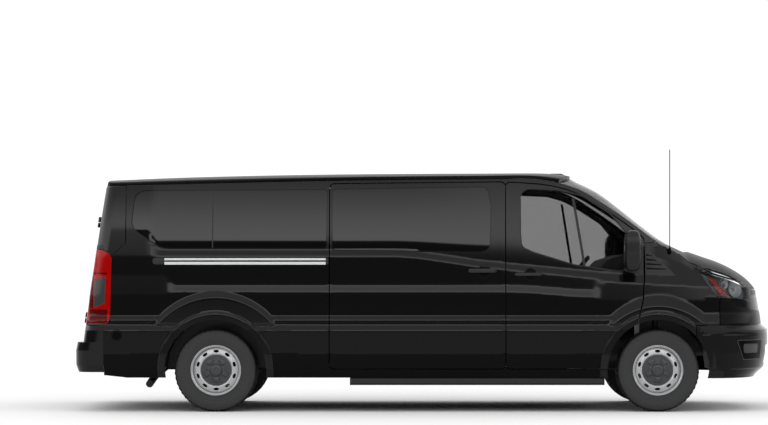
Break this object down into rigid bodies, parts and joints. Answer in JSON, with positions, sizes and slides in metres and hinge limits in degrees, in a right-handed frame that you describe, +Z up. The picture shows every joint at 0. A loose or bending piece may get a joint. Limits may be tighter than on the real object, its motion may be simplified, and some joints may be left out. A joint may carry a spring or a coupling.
{
  "type": "minibus",
  "caption": "Low-roof long-wheelbase passenger minibus with side-hinged front and rear doors, lifting hood, glazed sides and steel wheels that steer and roll.",
  "frame": {"origin": "on the ground, midway between the two bumpers' ends, on the centre plane", "axes": "+X forwards, +Y to the vehicle's left, +Z up"},
  "size_m": [5.981, 2.47, 2.228],
  "materials": {
    "black_paint": "gloss",
    "underbody_steel": "matte",
    "black_plastic": "matte",
    "dark_glass": "gloss",
    "clear_glass": "gloss",
    "headlamp_plastic": "gloss",
    "tail_lamp_plastic": "gloss",
    "track_metal": "satin",
    "engine_iron": "matte",
    "exhaust_steel": "satin",
    "seat_fabric": "matte",
    "wheel_steel": "satin",
    "tyre_rubber": "matte"
  },
  "bodies": {
    "body": {"side_panel_right": "black_paint", "side_panel_left": "black_paint", "door_posts": "underbody_steel", "rear_corner_panels": "black_paint", "rear_header": "black_paint", "roof_panel": "black_paint", "floor_pan": "underbody_steel", "bulkhead": "underbody_steel", "chassis_rails": "underbody_steel", "front_fenders": "black_paint", "cowl_panel": "black_plastic", "front_panel": "black_paint", "front_bumper": "black_paint", "rear_bumper": "black_paint", "grille": "black_plastic", "headlamps": "headlamp_plastic", "tail_lamps": "tail_lamp_plastic", "windscreen": "clear_glass", "side_windows": "dark_glass", "sliding_door": "black_paint", "sliding_door_glass": "dark_glass", "door_track": "track_metal", "step_board": "black_plastic", "wheel_housings": "black_plastic", "engine_block": "engine_iron", "front_subframe": "underbody_steel", "front_struts": "underbody_steel", "rear_axle": "underbody_steel", "leaf_springs": "underbody_steel", "drive_shaft": "underbody_steel", "exhaust": "exhaust_steel", "fuel_tank": "black_plastic", "dashboard": "black_plastic", "front_seats": "seat_fabric", "benches": "seat_fabric", "antennas": "black_plastic"},
    "hood": {"hood": "black_paint"},
    "front_door_right": {"front_door_right": "black_paint", "front_door_glass_right": "clear_glass", "mirror_right": "black_plastic"},
    "front_door_left": {"front_door_left": "black_paint", "front_door_glass_left": "clear_glass", "mirror_left": "black_plastic"},
    "rear_door_right": {"rear_door_right": "black_paint", "rear_door_glass_right": "dark_glass"},
    "rear_door_left": {"rear_door_left": "black_paint", "rear_door_glass_left": "dark_glass"},
    "knuckle_right": {"knuckle_right": "underbody_steel"},
    "knuckle_left": {"knuckle_left": "underbody_steel"},
    "wheel_front_right": {"wheel_front_right": "wheel_steel", "tyre_front_right": "tyre_rubber"},
    "wheel_front_left": {"wheel_front_left": "wheel_steel", "tyre_front_left": "tyre_rubber"},
    "wheel_rear_right": {"wheel_rear_right": "wheel_steel", "tyre_rear_right": "tyre_rubber"},
    "wheel_rear_left": {"wheel_rear_left": "wheel_steel", "tyre_rear_left": "tyre_rubber"},
    "steering_wheel": {"steering_wheel": "black_plastic"}
  },
  "joints": [
    {"name": "steer_left", "type": "hinge", "parent": "body", "child": "knuckle_left", "pos_m": [1.9675, 0.776, 0.352], "axis": [0, 0, 1], "range_deg": [-35, 35]},
    {"name": "steer_right", "type": "hinge", "parent": "body", "child": "knuckle_right", "pos_m": [1.9675, -0.776, 0.352], "axis": [0, 0, 1], "range_deg": [-35, 35]},
    {"name": "wheel_front_left_spin", "type": "hinge", "parent": "knuckle_left", "child": "wheel_front_left", "pos_m": [1.9675, 0.866, 0.352], "axis": [0, 1, 0], "continuous": true},
    {"name": "wheel_front_right_spin", "type": "hinge", "parent": "knuckle_right", "child": "wheel_front_right", "pos_m": [1.9675, -0.866, 0.352], "axis": [0, 1, 0], "continuous": true},
    {"name": "wheel_rear_left_spin", "type": "hinge", "parent": "body", "child": "wheel_rear_left", "pos_m": [-1.7825, 0.866, 0.352], "axis": [0, 1, 0], "continuous": true},
    {"name": "wheel_rear_right_spin", "type": "hinge", "parent": "body", "child": "wheel_rear_right", "pos_m": [-1.7825, -0.866, 0.352], "axis": [0, 1, 0], "continuous": true},
    {"name": "front_door_right_hinge", "type": "hinge", "parent": "body", "child": "front_door_right", "pos_m": [1.85, -1.045, 1], "axis": [0, 0, 1], "range_deg": [0, 65]},
    {"name": "front_door_left_hinge", "type": "hinge", "parent": "body", "child": "front_door_left", "pos_m": [1.85, 1.045, 1], "axis": [0, 0, -1], "range_deg": [0, 65]},
    {"name": "rear_door_right_hinge", "type": "hinge", "parent": "body", "child": "rear_door_right", "pos_m": [-2.84667, -0.79, 1.2], "axis": [0.1392, 0, 0.9903], "range_deg": [0, 180]},
    {"name": "rear_door_left_hinge", "type": "hinge", "parent": "body", "child": "rear_door_left", "pos_m": [-2.84667, 0.79, 1.2], "axis": [-0.1392, 0, -0.9903], "range_deg": [0, 180]},
    {"name": "hood_hinge", "type": "hinge", "parent": "body", "child": "hood", "pos_m": [2.1275, 0, 1.404], "axis": [0, -1, 0], "range_deg": [0, 50]},
    {"name": "steering_wheel_turn", "type": "hinge", "parent": "body", "child": "steering_wheel", "pos_m": [1.3575, 0.48, 1.185], "axis": [0.788, 0, -0.6157], "range_deg": [-560, 560]}
  ],
  "couplings": [
    {"joint": "steer_right", "follows": "steer_left", "ratio": 1}
  ]
}
